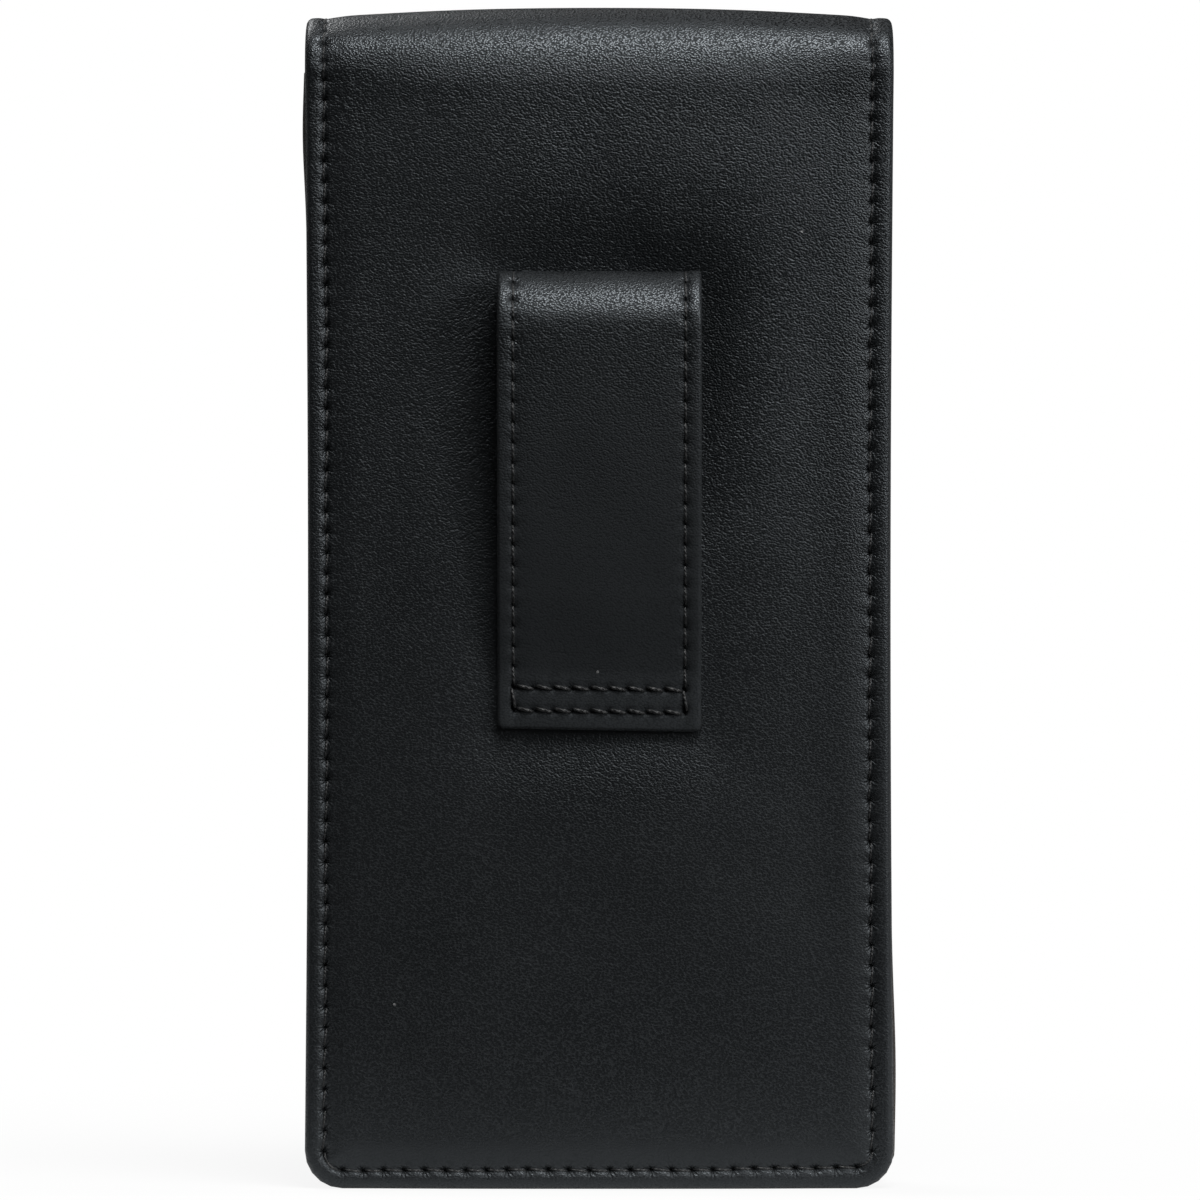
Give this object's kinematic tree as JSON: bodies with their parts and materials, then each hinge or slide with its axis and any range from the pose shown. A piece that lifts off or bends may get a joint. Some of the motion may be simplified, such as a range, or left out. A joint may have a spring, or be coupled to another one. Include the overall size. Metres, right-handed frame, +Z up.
{
  "type": "belt pouch",
  "caption": "Slim black leather belt pouch with a fold-over flap on a magnetic snap, a gusseted lined pocket and a stitched belt loop on its back.",
  "frame": {"origin": "centre of the bounding box on the surface that the pouch stands on, below its bottom edges", "axes": "+Z up from the bottom edge to the top fold; -Y is the back, with the belt loop; +Y is the front, with the flap; +X is to the right seen from the back"},
  "size_m": [0.0844, 0.0332, 0.1703],
  "materials": {
    "leather": "fine pebble grain, semi-matte",
    "thread": "bonded sewing thread",
    "lining": "napped suede cloth",
    "interlining": "bonded fibre",
    "nickel": "nickel plate",
    "magnet": "sintered, dark"
  },
  "bodies": {
    "pouch": {"back_panel": "leather", "back_interlining": "interlining", "back_lining": "lining", "back_seam": "thread", "front_panel": "leather", "front_interlining": "interlining", "front_lining": "lining", "front_seam": "thread", "mouth_seam": "thread", "gusset_strip": "leather", "belt_loop_strap": "leather", "belt_loop_lining": "lining", "belt_loop_left_seam": "thread", "belt_loop_right_seam": "thread", "belt_loop_box_seam": "thread", "belt_loop_anchor_seam": "thread", "snap_stud": "nickel", "snap_stud_washer": "nickel"},
    "top_fold": {"top_fold_panel": "leather", "top_fold_interlining": "interlining", "top_fold_lining": "lining", "top_fold_left_seam": "thread", "top_fold_right_seam": "thread"},
    "flap": {"flap_panel": "leather", "flap_interlining": "interlining", "flap_lining": "lining", "flap_seam": "thread", "snap_cup": "nickel", "snap_magnet": "magnet", "snap_cup_washer": "nickel"}
  },
  "joints": [
    {"name": "back_crease", "type": "hinge", "parent": "pouch", "child": "top_fold", "pos_m": [0, -0.007, 0.17], "axis": [1, 0, 0], "range_deg": [0, 110]},
    {"name": "front_crease", "type": "hinge", "parent": "top_fold", "child": "flap", "pos_m": [0, 0.0163, 0.17], "axis": [1, 0, 0], "range_deg": [0, 110]}
  ]
}
